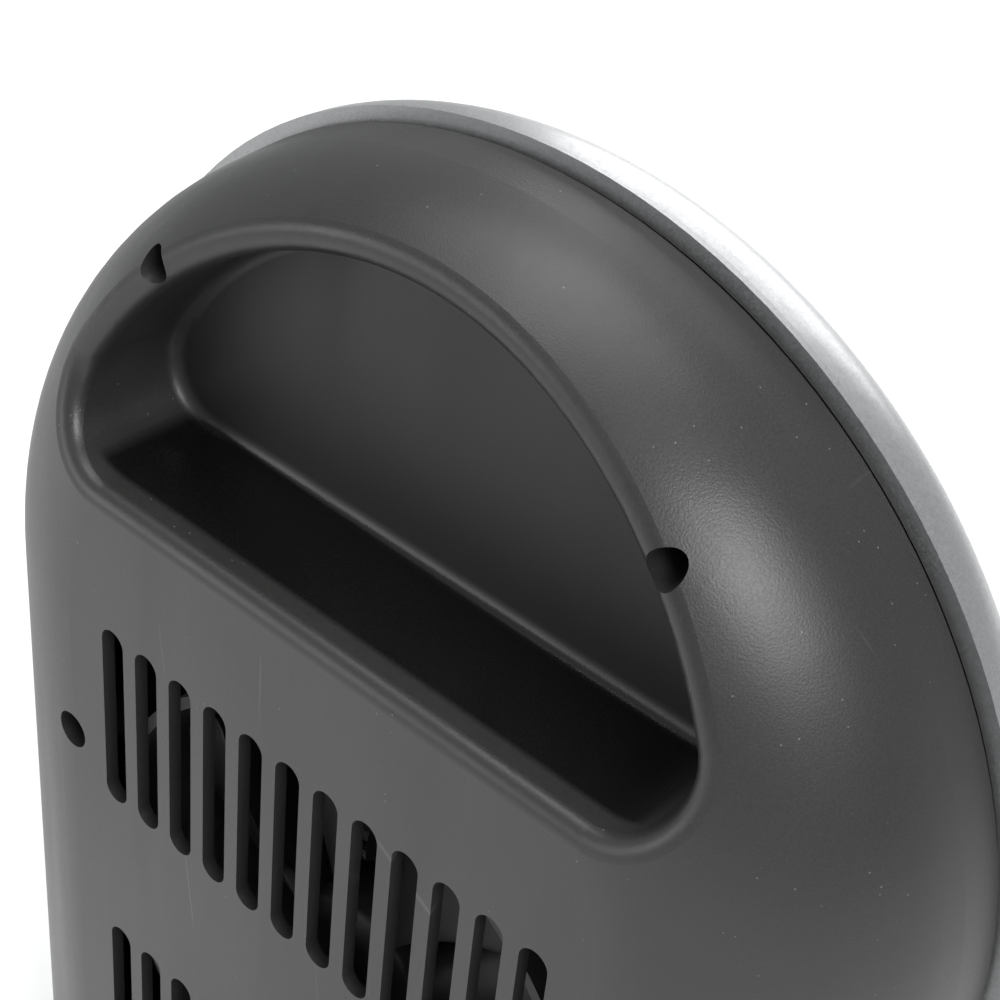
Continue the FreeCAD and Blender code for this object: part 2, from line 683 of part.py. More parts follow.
def make_motor():
    can = axial("can_outer", "motor_radius", "motor_length", "motor_start")
    flange = axial("can_flange", "motor_flange", "motor_wall", "holder_start + holder_length")
    hollow = axial("can_hollow", "motor_radius - motor_wall", "motor_length", "motor_start + motor_wall")
    nose = axial("can_nose", "bush_radius + 0.05", "3 * motor_wall", "motor_start - motor_wall")
    cap = axial("cap_disc", "motor_radius", "motor_wall", "motor_start + motor_length")
    cap_hole = axial("cap_hole", "bush_radius + 0.05", "3 * motor_wall", "motor_start + motor_length - motor_wall")
    bushes = []
    for name, depth in (("rear", "motor_start - 1"), ("front", "motor_start + motor_length - 1")):
        bushes.append(cut(f"bush_{name}", axial(f"bush_{name}_body", "bush_radius", "bush_length", depth),
                          axial(f"bush_{name}_bore", "shaft_radius + shaft_clearance", "bush_length + 2",
                                f"{depth} - 1")))
    ring = cut("magnet_ring", axial("magnet_outer", "magnet_radius", "armature_length", "motor_start + 4"),
               axial("magnet_bore", "magnet_inner", "armature_length + 2", "motor_start + 3"))
    split = slab("magnet_split", "2 * motor_radius", "8", "armature_length + 2", "0", "fan_height - 4",
                 "motor_start + 3")
    name_node(cut("motor_magnets", ring, split), "motor_magnets")
    screws = []
    holes = []
    for i in range(3):
        turn = math.radians(90 + 120 * i)
        x = f"({math.cos(turn):.6f}) * (motor_flange + motor_radius) / 2"
        z = f"fan_height + ({math.sin(turn):.6f}) * (motor_flange + motor_radius) / 2"
        seat = "holder_start + holder_length + motor_wall"
        head = disc(f"motor_screw_head{i}", "2 * small_screw", "1.5", x, z, seat)
        shank = disc(f"motor_screw_shank{i}", "small_screw", "6", x, z, f"{seat} - 5.5")
        screws.append(fuse(f"motor_screw{i}", head, shank))
        holes.append(disc(f"motor_screw_hole{i}", "small_screw + screw_clearance", "8", x, z, f"{seat} - 7"))
    name_node(cut("motor_can", cut("can_shell", fuse("can_whole", can, flange), hollow, nose), *holes),
              "motor_can")
    name_node(cut("motor_end_cap", cap, cap_hole), "motor_end_cap")
    name_node(group("motor_bushes", *bushes), "motor_bushes")
    name_node(group("motor_screws", *screws), "motor_screws")
    return holes


def make_duct(motor_holes):
    bore = axial("duct_bore", "fan_radius + fan_clearance", "frame_start - duct_start + 2", "duct_start - 1")
    wall = axial("duct_wall_disc", "fan_radius + fan_clearance + duct_wall", "frame_start - duct_start",
                 "duct_start")
    plate = slab("duct_plate", "2 * frame_half", "2 * frame_half", "duct_flange", "0", "fan_height - frame_half",
                 "frame_start - duct_flange")
    opening = axial("duct_opening", "frame_half - 2", "2 * duct_flange", "frame_start - 1.5 * duct_flange")
    ring = fuse("duct_ring", cut("duct_tube", wall, bore), cut("duct_plate_open", plate, opening))
    spokes = []
    for i in range(3):
        spoke = doc.addObject("Part::Box", f"spoke{i}")
        bind(spoke, "Length", "spoke_width")
        bind(spoke, "Width", "holder_length / 2")
        bind(spoke, "Height", "fan_radius + fan_clearance + duct_wall / 2")
        lift = Placement(Vector(-val("spoke_width") / 2, 0, 0), Rotation())
        around = Placement(Vector(0, 0, 0), Rotation(Vector(0, 1, 0), 30 + 120 * i))
        middle = Vector(0, val("back_plane") - val("holder_start") - val("holder_length"), val("fan_height"))
        spoke.Placement = Placement(middle, Rotation()).multiply(around).multiply(lift)
        spokes.append(spoke)
    holder = axial("holder_disc", "motor_flange", "holder_length", "holder_start")
    seat = axial("holder_bore", "motor_radius + 0.2", "holder_length + 2", "holder_start - 1")
    holes = []
    screws = []
    for side, x in enumerate(both_sides("mount_screw")):
        for end, z in enumerate(("fan_height - mount_screw", "fan_height + mount_screw")):
            holes.append(disc(f"mount_hole{side}{end}", "mount_screw_radius + screw_clearance", "30", x, z,
                              "frame_start - 5"))
            head = disc(f"mount_head{side}{end}", "2 * mount_screw_radius", "2", x, z,
                        "frame_start - duct_flange - 2")
            shank = disc(f"mount_shank{side}{end}", "mount_screw_radius",
                         "frame_depth + duct_flange + 4", x, z, "frame_start - duct_flange - 0.1")
            screws.append(fuse(f"mount_screw{side}{end}", head, shank))
    whole = fuse("duct_whole", ring, cut("holder", fuse("holder_spokes", holder, *spokes), seat))
    name_node(cut("fan_duct", whole, *holes, *motor_holes), "fan_duct")
    name_node(group("element_screws", *screws), "element_screws")
    return holes


# ---- ceramic element -------------------------------------------------------------------

def fin_strip(width, height, depth, pitch, thickness):
    """A corrugated strip: a zigzag of constant thickness, drawn deep."""
    folds = int(height / pitch)
    step = height / folds
    slant = thickness * math.hypot(width, step) / step
    reach = (width - slant) / 2
    near = [Vector((-reach if i % 2 else reach) - slant / 2, 0, i * step) for i in range(folds + 1)]
    far = [point + Vector(slant, 0, 0) for point in reversed(near)]
    face = Part.Face(Part.makePolygon(near + far + near[:1]))
    return face.extrude(Vector(0, -depth, 0))


def make_element(mount_holes):
    block_frame = slab("frame_block", "2 * frame_half", "2 * frame_half", "frame_depth", "0",
                       "fan_height - frame_half", "frame_start")
    side = "2 * (core_half + core_play)"
    window = slab("frame_window", side, side, "frame_depth + 2", "0",
                  "fan_height - core_half - core_play", "frame_start - 1")
    tabs = []
    slots = []
    depth = "frame_start + frame_depth / 2 - terminal_thickness / 2"
    for i, x in enumerate(("-terminal_pitch", "0", "terminal_pitch")):
        low = "fan_height - core_half - core_play - terminal_length"
        tabs.append(slab(f"terminal{i}", "terminal_width", "terminal_length", "terminal_thickness", x, low, depth))
        slots.append(slab(f"terminal_slot{i}", "terminal_width + 0.4", "terminal_length + 1",
                          "terminal_thickness + 0.4", x, low, f"{depth} - 0.2"))
    lip_out = slab("frame_lip_block", "2 * frame_half", "2 * frame_half", "1.5", "0", "fan_height - frame_half",
                   "frame_start + frame_depth - 1.5")
    lip_in = slab("frame_lip_window", "2 * core_half - 4", "2 * core_half - 4", "4", "0",
                  "fan_height - core_half + 2", "frame_start + frame_depth - 3")
    whole = fuse("frame_whole", cut("frame_open", block_frame, window), cut("frame_lip", lip_out, lip_in))
    name_node(cut("ptc_frame", whole, *mount_holes, *slots), "ptc_frame")
    name_node(group("ptc_terminals", *tabs), "ptc_terminals")
    count = int(val("bar_count"))
    pack = "(2 * core_half - bar_count * bar_width) / (bar_count + 1)"
    bars = []
    for i in range(count):
        bars.append(slab(f"ceramic_bar{i}", "bar_width", "2 * core_half", "core_depth",
                         f"-core_half + {i + 1} * {pack} + ({i} + 0.5) * bar_width",
                         "fan_height - core_half", "frame_start + 1"))
    name_node(group("ptc_bars", *bars), "ptc_bars")
    width = (2 * val("core_half") - count * val("bar_width")) / (count + 1)
    fins = doc.addObject("Part::Feature", "ptc_fins")
    strips = []
    for i in range(count + 1):
        strip = fin_strip(width - 2 * val("core_play"), 2 * val("core_half") - 1, val("core_depth"),
                          val("fin_pitch"), val("fin_thickness"))
        strip.translate(Vector(-val("core_half") + (i + 0.5) * width + i * val("bar_width"), 0, 0))
        strips.append(strip)
    fins.Shape = Part.makeCompound(strips)
    fins.Placement = Placement(Vector(0, val("back_plane") - val("frame_start") - 1,
                                      val("fan_height") - val("core_half")), Rotation())
    name_node(fins, "ptc_fins")
    cutout = doc.addObject("Part::Cylinder", "thermal_cutout")
    bind(cutout, "Radius", "2 * lens_radius")
    bind(cutout, "Height", "6")
    place(cutout, "frame_half", "back_plane - frame_start - frame_depth / 2", "fan_height - core_half / 2",
          Rotation(Vector(0, 1, 0), 90))
    name_node(cutout, "thermal_cutout")


# ---- controls -----------------------------------------------------------------------------

def make_control(name, x):
    panel = "body_depth - shell_wall - 2 * shell_fit - grille_plate"
    shell = slab(f"{name}_case", "control_body", "control_body", "control_body_depth", x,
                 "control_z - control_body / 2", f"{panel} - control_body_depth")
    well = disc(f"{name}_well", "spindle_radius + shaft_clearance", "control_body_depth", x, "control_z",
                f"{panel} - control_body_depth + 3")
    name_node(cut(f"{name}_body", shell, well), f"{name}_body")
    face = "body_depth - grille_proud + knob_gap"
    start = f"{panel} - control_body_depth + 4"
    spindle = disc(f"{name}_spindle", "spindle_radius", f"{face} + knob_depth - 4 - ({start})", x, "control_z",
                   start)
    name_node(spindle, f"{name}_spindle")
    skirt = disc(f"{name}_skirt", "knob_radius", "knob_base", x, "control_z", face)
    drum = disc(f"{name}_drum", "knob_radius - 2.5", "knob_depth - 2", x, "control_z", face)
    grip = slab(f"{name}_grip", "knob_bar", "2 * knob_radius - 5", "knob_depth", x,
                "control_z - knob_radius + 2.5", face)
    bore = disc(f"{name}_bore", "spindle_radius + 0.02", "knob_depth - 4 + 1", x, "control_z", f"{face} - 1")
    name_node(cut(f"{name}_knob", fuse(f"{name}_knob_whole", skirt, drum, grip), bore), f"{name}_knob")


def make_indicator():
    name_node(disc("indicator_lens", "lens_radius", "grille_plate + shell_wall + 1", "0", "control_z",
                   "body_depth - shell_wall - 2 * shell_fit - grille_plate"), "indicator_lens")
    name_node(disc("indicator_lamp", "lens_radius - 0.5", "lamp_length", "0", "control_z",
                   "body_depth - shell_wall - 2 * shell_fit - grille_plate - lamp_length"), "indicator_lamp")


# ---- tip switch, terminals, gland and leads ---------------------------------------------------

def make_tip_switch():
    floor = "body_floor + casing_wall"
    shell = block("tip_case", "tip_body", "tip_body", "tip_body", "tip_x", "tip_y", floor)
    well = post("tip_well", "tip_radius + tip_clearance / 2", "tip_body - 4", "tip_x", "tip_y", f"{floor} - 1")
    name_node(cut("tip_switch_body", shell, well), "tip_switch_body")
    name_node(post("tip_plunger", "tip_radius", f"{floor} + tip_body / 2 - tip_rest", "tip_x", "tip_y",
                   "tip_rest"), "tip_plunger")


def make_terminals():
    base = "body_floor + casing_wall"
    name_node(block("terminal_block", "block_length", "block_width", "block_height", "block_x", "tip_y", base),
              "terminal_block")
    outer = disc("gland_outer", "gland_radius - 0.1", "casing_wall + 5", "gland_x", "gland_z", "0")
    flange = disc("gland_flange", "gland_radius + 2.5", "2", "gland_x", "gland_z", "-2")
    nut = disc("gland_nut", "gland_radius + 2.5", "2.5", "gland_x", "gland_z", "casing_wall")
    bore = disc("gland_bore", "gland_bore", "casing_wall + 12", "gland_x", "gland_z", "-4")
    name_node(cut("cord_gland", fuse("gland_whole", outer, flange, nut), bore), "cord_gland")


def lead(start, corners, end):
    """A round wire along straight runs with tangent arcs at the corners."""
    points = [start, *corners, end]
    radius = val("lead_radius")
    edges = []
    here = points[0]
    for before, corner, after in zip(points, points[1:], points[2:]):
        into = (corner - before).normalize()
        out = (after - corner).normalize()
        reach = 0.4 * min((corner - before).Length, (after - corner).Length)
        first = corner - into * reach
        last = corner + out * reach
        middle = corner + (out - into).normalize() * reach * arc_share(into, out)
        edges.append(Part.LineSegment(here, first).toShape())
        edges.append(Part.Arc(first, middle, last).toShape())
        here = last
    edges.append(Part.LineSegment(here, points[-1]).toShape())
    wire = Part.Wire(edges)
    ring = Part.Wire([Part.Circle(points[0], (points[1] - points[0]).normalize(), radius).toShape()])
    return wire.makePipeShell([ring], True, False)


def arc_share(into, out):
    """How far an arc's middle lies from its corner, as a share of the tangent length."""
    half = math.acos(max(-1.0, min(1.0, into.dot(out)))) / 2
    return (1 - math.cos(half)) / math.sin(half)


def make_leads():
    top = val("body_floor") + val("casing_wall") + val("block_height")
    y_block = val("tip_y")
    y_tab = val("back_plane") - val("frame_start") - val("frame_depth") / 2
    z_tab = val("fan_height") - val("core_half") - val("core_play") - val("terminal_length") - 0.3
    runs = []
    for i in (-1, 0, 1):
        x0 = val("block_x") + i * val("block_length") * 0.3
        x1 = i * val("terminal_pitch")
        runs.append(lead(Vector(x0, y_block, top + 0.3),
                         [Vector(x0, y_block, top + 14), Vector(x1, y_tab, z_tab - 9)],
                         Vector(x1, y_tab, z_tab)))
    leads = doc.addObject("Part::Feature", "element_leads")
    leads.Shape = Part.makeCompound(runs)
    leads.Placement = Placement()
    name_node(leads, "element_leads")


make_rear_casing()
make_front_shell()
make_front_grille()
make_base()
make_casing_screws()
make_fan()
make_element(make_duct(make_motor()))
make_control("thermostat", "control_x")
make_control("mode_switch", "-control_x")
make_indicator()
make_tip_switch()
make_terminals()
make_leads()
doc.recompute()

for thing in doc.Objects:
    if "Invalid" in thing.State or "Error" in thing.State:
        raise RuntimeError(f"{thing.Name} did not build: {thing.State}")
os.makedirs("parts", exist_ok=True)
for thing in nodes:
    shape = thing.Shape
    if shape.isNull() or not shape.isValid() or not shape.Solids:
        raise RuntimeError(f"{thing.Label} is not a valid solid")
    print(f"{thing.Label}: {len(shape.Solids)} solid(s), {shape.Volume / 1000:.2f} cm3")
for thing in nodes:
    thing.Shape.exportStep(f"parts/{thing.Label}.step")
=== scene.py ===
import math

import bpy
import numpy as np
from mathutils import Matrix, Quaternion, Vector


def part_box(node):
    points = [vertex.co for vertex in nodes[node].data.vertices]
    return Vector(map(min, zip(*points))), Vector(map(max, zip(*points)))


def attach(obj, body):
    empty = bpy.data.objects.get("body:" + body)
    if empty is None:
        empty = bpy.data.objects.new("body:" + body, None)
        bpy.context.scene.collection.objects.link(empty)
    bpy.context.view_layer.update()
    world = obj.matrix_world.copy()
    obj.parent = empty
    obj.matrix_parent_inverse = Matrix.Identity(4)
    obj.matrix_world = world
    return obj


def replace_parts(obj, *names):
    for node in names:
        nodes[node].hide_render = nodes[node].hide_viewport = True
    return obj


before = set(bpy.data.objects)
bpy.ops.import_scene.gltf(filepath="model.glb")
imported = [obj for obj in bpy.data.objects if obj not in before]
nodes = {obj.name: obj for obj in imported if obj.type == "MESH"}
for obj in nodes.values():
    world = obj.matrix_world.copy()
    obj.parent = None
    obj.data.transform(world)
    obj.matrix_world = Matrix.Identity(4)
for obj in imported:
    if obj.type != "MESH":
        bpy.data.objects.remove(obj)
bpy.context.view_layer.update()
mm = 0.001
print("frame loaded:", len(nodes), "nodes")


# Node building blocks. Every pattern reads Object coordinates, in metres.

def startMaterial(name, colour, roughness, metallic=0.0, **sockets):
    material = bpy.data.materials.new(name)
    material.use_nodes = True
    material.diffuse_color = (*colour, 1.0)
    shader = material.node_tree.nodes["Principled BSDF"]
    shader.inputs["Base Color"].default_value = (*colour, 1.0)
    shader.inputs["Roughness"].default_value = roughness
    shader.inputs["Metallic"].default_value = metallic
    for socket, value in sockets.items():
        shader.inputs[socket.replace("_", " ")].default_value = value
    return material, material.node_tree, shader


def objectCoords(tree, stretch=(1, 1, 1), turn=(0, 0, 0)):
    coords = tree.nodes.new("ShaderNodeTexCoord")
    mapping = tree.nodes.new("ShaderNodeMapping")
    mapping.inputs["Scale"].default_value = stretch
    mapping.inputs["Rotation"].default_value = turn
    tree.links.new(coords.outputs["Object"], mapping.inputs["Vector"])
    return mapping.outputs["Vector"]


def noiseField(tree, perMetre, detail=2.0, stretch=(1, 1, 1), turn=(0, 0, 0), distortion=0.0):
    noise = tree.nodes.new("ShaderNodeTexNoise")
    noise.inputs["Scale"].default_value = perMetre
    noise.inputs["Detail"].default_value = detail
    noise.inputs["Distortion"].default_value = distortion
    tree.links.new(objectCoords(tree, stretch, turn), noise.inputs["Vector"])
    return noise.outputs["Fac"]


def cellField(tree, perMetre, feature="F1", output="Distance", stretch=(1, 1, 1), turn=(0, 0, 0)):
    cells = tree.nodes.new("ShaderNodeTexVoronoi")
    cells.feature = feature
    cells.inputs["Scale"].default_value = perMetre
    tree.links.new(objectCoords(tree, stretch, turn), cells.inputs["Vector"])
    return cells.outputs[output]


def remap(tree, value, low, high, start=0.0, end=1.0):
    node = tree.nodes.new("ShaderNodeMapRange")
    node.inputs["From Min"].default_value = low
    node.inputs["From Max"].default_value = high
    node.inputs["To Min"].default_value = start
    node.inputs["To Max"].default_value = end
    tree.links.new(value, node.inputs["Value"])
    return node.outputs["Result"]


def combine(tree, kind, first, second):
    node = tree.nodes.new("ShaderNodeMath")
    node.operation = kind
    for slot, value in enumerate((first, second)):
        if isinstance(value, (int, float)):
            node.inputs[slot].default_value = value
        else:
            tree.links.new(value, node.inputs[slot])
    return node.outputs["Value"]


def blendColour(tree, share, first, second):
    node = tree.nodes.new("ShaderNodeMix")
    node.data_type = "RGBA"
    tree.links.new(share, node.inputs["Factor"])
    for socket, value in (("A", first), ("B", second)):
        target = [item for item in node.inputs if item.name == socket and item.type == "RGBA"][0]
        if isinstance(value, tuple):
            target.default_value = (*value, 1.0)
        else:
            tree.links.new(value, target)
    return [item for item in node.outputs if item.type == "RGBA"][0]


def addBump(tree, shader, height, depth, strength=1.0):
    # a later bump rides on the one before it
    bump = tree.nodes.new("ShaderNodeBump")
    bump.inputs["Distance"].default_value = depth
    bump.inputs["Strength"].default_value = strength
    tree.links.new(height, bump.inputs["Height"])
    if shader.inputs["Normal"].is_linked:
        tree.links.new(shader.inputs["Normal"].links[0].from_socket, bump.inputs["Normal"])
    tree.links.new(bump.outputs["Normal"], shader.inputs["Normal"])


# 1 inside a box given by its middle and half size, and inside a round about an axis along Y, falling to 0
# over a soft edge
def insideZone(tree, middle, half, edge, roundCentre, roundRadius):
    split = tree.nodes.new("ShaderNodeSeparateXYZ")
    coords = tree.nodes.new("ShaderNodeTexCoord")
    tree.links.new(coords.outputs["Object"], split.inputs["Vector"])
    rise = combine(tree, "SUBTRACT", split.outputs["Z"], roundCentre)
    away = combine(tree, "SQRT", combine(tree, "ADD", combine(tree, "MULTIPLY", split.outputs["X"],
                                                              split.outputs["X"]),
                                         combine(tree, "MULTIPLY", rise, rise)), 0.0)
    share = remap(tree, away, roundRadius, roundRadius + edge, 1.0, 0.0)
    for axis, centre, reach in zip("XYZ", middle, half):
        away = combine(tree, "ABSOLUTE", combine(tree, "SUBTRACT", split.outputs[axis], centre), 0.0)
        within = remap(tree, away, reach, reach + edge, 1.0, 0.0)
        share = combine(tree, "MULTIPLY", share, within)
    return share


def scaled(colour, share):
    return tuple(part * share for part in colour)


# Moulded plastic: spark-eroded grain, slow tone and gloss changes, flow marks, dust and hairline scuffs, and
# zones of painted shade
def mouldedPlastic(name, look):
    material, tree, shader = startMaterial(name, look["colour"], look["roughness"], IOR=1.5)
    tone = noiseField(tree, look["cloudsPerMetre"], 3.0)
    grain = noiseField(tree, look["grainPerMetre"], 2.0)
    flow = noiseField(tree, 40, 4.0, stretch=(1.0, 1.0, 0.12), turn=(0.0, 0.5, 0.0), distortion=0.6)
    base = blendColour(tree, remap(tree, tone, 0.35, 0.65), scaled(look["colour"], 1 - look["toneSpread"]),
                       scaled(look["colour"], 1 + look["toneSpread"]))
    base = blendColour(tree, remap(tree, grain, 0.3, 0.7, 0.0, look["grainTint"]), base,
                       scaled(look["colour"], 2.2))
    specks = combine(tree, "MULTIPLY",
                     remap(tree, cellField(tree, 420), 0.05, 0.09, 1.0, 0.0),
                     remap(tree, noiseField(tree, 90, 1.0), 0.56, 0.62))
    base = blendColour(tree, combine(tree, "MULTIPLY", specks, look["dust"]), base, (0.45, 0.44, 0.42))
    scuffs = combine(tree, "MULTIPLY",
                     remap(tree, cellField(tree, 24, "DISTANCE_TO_EDGE", stretch=(1.0, 1.0, 0.35),
                                           turn=(0.2, 0.9, 0.3)), 0.002, 0.006, 1.0, 0.0),
                     remap(tree, noiseField(tree, 22, 2.0), 0.58, 0.66))
    base = blendColour(tree, combine(tree, "MULTIPLY", scuffs, look["scuffs"]), base, (0.16, 0.16, 0.155))
    gloss = remap(tree, flow, 0.3, 0.7, look["roughness"] - look["glossSpread"],
                  look["roughness"] + look["glossSpread"])
    gloss = combine(tree, "ADD", gloss, remap(tree, grain, 0.3, 0.7, -0.03, 0.03))
    for shadeZone in look.get("shadeZones", ()):     # stretches of the mould painted darker as shade, each with its own gloss
        share = insideZone(tree, shadeZone["middle"], shadeZone["half"], shadeZone["edge"], shadeZone["roundCentre"],
                           shadeZone["roundRadius"])
        base = blendColour(tree, share, base, shadeZone["colour"])
        gloss = combine(tree, "ADD", gloss, combine(tree, "MULTIPLY", share, shadeZone["gloss"]))
    tree.links.new(base, shader.inputs["Base Color"])
    tree.links.new(gloss, shader.inputs["Roughness"])
    addBump(tree, shader, flow, 0.12 * mm, 0.25)
    addBump(tree, shader, grain, look["grainDepth"] * mm, 0.8)
    return material


# Sprayed silver: flakes that each tilt and shine a little differently, under a thin clear coat
def silverPaint(name, look):
    material, tree, shader = startMaterial(name, look["colour"], look["roughness"], look["metallic"],
                                           Coat_Weight=0.35, Coat_Roughness=0.22)
    flakes = cellField(tree, look["flakesPerMetre"], output="Color")
    split = tree.nodes.new("ShaderNodeSeparateColor")
    tree.links.new(flakes, split.inputs["Color"])
    patches = noiseField(tree, 14, 3.0)
    shade = blendColour(tree, remap(tree, split.outputs["Red"], 0.0, 1.0), scaled(look["colour"], 0.9),
                        scaled(look["colour"], 1.08))
    shade = blendColour(tree, remap(tree, patches, 0.35, 0.65, 0.0, 0.12), shade, scaled(look["colour"], 0.7))
    tree.links.new(shade, shader.inputs["Base Color"])
    tree.links.new(remap(tree, split.outputs["Green"], 0.0, 1.0, look["roughness"] - 0.09,
                         look["roughness"] + 0.09), shader.inputs["Roughness"])
    addBump(tree, shader, noiseField(tree, 700, 2.0), 0.02 * mm, 0.5)      # orange peel
    addBump(tree, shader, split.outputs["Blue"], 0.002 * mm, 0.5)
    return material


# Metal parts: drawn or rolled lines along one direction, with a dull cloudy film
def workedMetal(name, look):
    material, tree, shader = startMaterial(name, look["colour"], look["roughness"], 1.0)
    lines = noiseField(tree, look["linesPerMetre"], 3.0, stretch=look["lineStretch"])
    film = noiseField(tree, 60, 4.0)
    shade = blendColour(tree, remap(tree, lines, 0.3, 0.7), scaled(look["colour"], 0.8),
                        scaled(look["colour"], 1.1))
    shade = blendColour(tree, remap(tree, film, 0.5, 0.75, 0.0, look["film"]), shade, look["filmColour"])
    tree.links.new(shade, shader.inputs["Base Color"])
    tree.links.new(remap(tree, film, 0.3, 0.7, look["roughness"] - 0.08, look["roughness"] + 0.12),
                   shader.inputs["Roughness"])
    addBump(tree, shader, lines, 0.02 * mm, 0.6)
    return material


# Matt rubber: a chalky bloom and a coarse skin
def mattRubber(name, look):
    material, tree, shader = startMaterial(name, look["colour"], look["roughness"])
    bloom = noiseField(tree, 120, 5.0)
    shade = blendColour(tree, remap(tree, bloom, 0.45, 0.75, 0.0, 0.6), look["colour"], look["bloom"])
    tree.links.new(shade, shader.inputs["Base Color"])
    tree.links.new(remap(tree, bloom, 0.3, 0.7, 0.7, 0.92), shader.inputs["Roughness"])
    addBump(tree, shader, noiseField(tree, 1500, 3.0), 0.06 * mm)
    return material


# Braided glass sleeve: two sets of strands crossing at a slant, as a product of two waves
def wovenSleeve(name, look):
    material, tree, shader = startMaterial(name, look["colour"], look["roughness"])
    strands = []
    for slant in (0.7, -0.7):
        wave = tree.nodes.new("ShaderNodeTexWave")
        wave.inputs["Scale"].default_value = look["strandsPerMetre"]
        wave.inputs["Distortion"].default_value = 0.6
        tree.links.new(objectCoords(tree, turn=(0.4, slant, 0.0)), wave.inputs["Vector"])
        strands.append(wave.outputs["Fac"])
    weave = combine(tree, "MULTIPLY", *strands)
    shade = blendColour(tree, weave, scaled(look["colour"], 0.45), look["colour"])
    tree.links.new(shade, shader.inputs["Base Color"])
    addBump(tree, shader, weave, 0.12 * mm)
    return material


# Clear or coloured moulded lens with a faint haze
def mouldedLens(name, look):
    material, tree, shader = startMaterial(name, look["colour"], look["roughness"],
                                           Transmission_Weight=look["clear"], IOR=1.49)
    haze = noiseField(tree, 300, 3.0)
    shade = blendColour(tree, remap(tree, haze, 0.4, 0.7), look["colour"], scaled(look["colour"], 0.75))
    tree.links.new(shade, shader.inputs["Base Color"])
    tree.links.new(remap(tree, haze, 0.3, 0.7, look["roughness"], look["roughness"] + 0.12),
                   shader.inputs["Roughness"])
    return material


recessRound = {"roundCentre": 216.3 * mm, "roundRadius": 77 * mm}
# Painted shade: the handle recess's floor and back wall get darker colours than the rest of the casing,
# standing in for the shade inside the hollow; their gloss entries only shift the roughness
recessFloorShade = dict(recessRound, middle=(0.0, 27 * mm, 233 * mm), half=(80 * mm, 11 * mm, 2 * mm),
                   edge=1.5 * mm, colour=(0.004, 0.004, 0.004), gloss=-0.12)
recessWallShade = dict(recessRound, middle=(0.0, 13 * mm, 268 * mm), half=(82 * mm, 3 * mm, 32 * mm),
                  edge=1.0 * mm, colour=(0.017, 0.017, 0.017), gloss=0.14)
casingLook = {"colour": (0.021, 0.0207, 0.0202), "roughness": 0.38, "glossSpread": 0.05, "toneSpread": 0.15,
              "cloudsPerMetre": 14, "grainPerMetre": 2400, "grainTint": 0.2, "grainDepth": 0.04,
              "dust": 0.22, "scuffs": 0.3}
bodyLook = dict(casingLook, shadeZones=[recessFloorShade, recessWallShade])
blackLook = dict(casingLook, colour=(0.012, 0.012, 0.0125), roughness=0.34, dust=0.15, scuffs=0.06)
fanLook = dict(casingLook, colour=(0.03, 0.03, 0.031), roughness=0.4, grainDepth=0.02, scuffs=0.1)
ductLook = dict(casingLook, colour=(0.07, 0.07, 0.068), roughness=0.5, scuffs=0.1)
switchLook = dict(casingLook, colour=(0.62, 0.6, 0.54), roughness=0.45, grainTint=0.0, toneSpread=0.06,
                  dust=0.0, scuffs=0.1)
silverLook = {"colour": (0.36, 0.363, 0.368), "roughness": 0.42, "metallic": 0.8, "flakesPerMetre": 3200}
steelLook = {"colour": (0.55, 0.55, 0.56), "roughness": 0.3, "linesPerMetre": 900,
             "lineStretch": (1, 0.06, 1), "film": 0.2, "filmColour": (0.3, 0.29, 0.27)}
screwLook = dict(steelLook, colour=(0.36, 0.36, 0.37), roughness=0.38, lineStretch=(1, 1, 1), film=0.5)
motorLook = dict(steelLook, colour=(0.5, 0.5, 0.51), roughness=0.34, lineStretch=(1, 0.3, 1), film=0.35)
bronzeLook = dict(steelLook, colour=(0.55, 0.4, 0.2), roughness=0.45, lineStretch=(1, 1, 1), film=0.4)
brassLook = dict(steelLook, colour=(0.72, 0.55, 0.25), roughness=0.3, lineStretch=(1, 1, 0.1), film=0.3)
finLook = dict(steelLook, colour=(0.78, 0.78, 0.79), roughness=0.28, lineStretch=(0.1, 1, 1), film=0.25)
ferriteLook = dict(casingLook, colour=(0.04, 0.04, 0.042), roughness=0.7, grainPerMetre=1200, dust=0.1)
rubberLook = {"colour": (0.018, 0.018, 0.018), "roughness": 0.8, "bloom": (0.06, 0.06, 0.058)}
sleeveLook = {"colour": (0.5, 0.07, 0.04), "roughness": 0.65, "strandsPerMetre": 260}
lensLook = {"colour": (0.6, 0.02, 0.01), "roughness": 0.08, "clear": 0.55}
lampLook = {"colour": (0.85, 0.86, 0.86), "roughness": 0.05, "clear": 0.9}
markLook = dict(casingLook, colour=(0.7, 0.7, 0.69), roughness=0.5, grainTint=0.0, toneSpread=0.05,
                dust=0.0, scuffs=0.1)

finishes = {
    "casing_plastic": mouldedPlastic("casingPlastic", bodyLook),
    "black_plastic": mouldedPlastic("blackPlastic", blackLook),
    "fan_plastic": mouldedPlastic("fanPlastic", fanLook),
    "duct_plastic": mouldedPlastic("ductPlastic", ductLook),
    "switch_plastic": mouldedPlastic("switchPlastic", switchLook),
    "ferrite": mouldedPlastic("sinteredFerrite", ferriteLook),
    "silver_paint": silverPaint("silverPaint", silverLook),
    "steel": workedMetal("groundSteel", steelLook),
    "screw_steel": workedMetal("zincScrew", screwLook),
    "motor_steel": workedMetal("platedSteel", motorLook),
    "bronze": workedMetal("sinteredBronze", bronzeLook),
    "brass": workedMetal("tabBrass", brassLook),
    "element_aluminium": workedMetal("rolledAluminium", finLook),
    "rubber": mattRubber("footRubber", rubberLook),
    "lead_sleeve": wovenSleeve("braidedSleeve", sleeveLook),
    "red_lens": mouldedLens("redLens", lensLook),
    "clear_lamp": mouldedLens("clearLamp", lampLook),
}
markPaint = mouldedPlastic("markPaint", markLook)
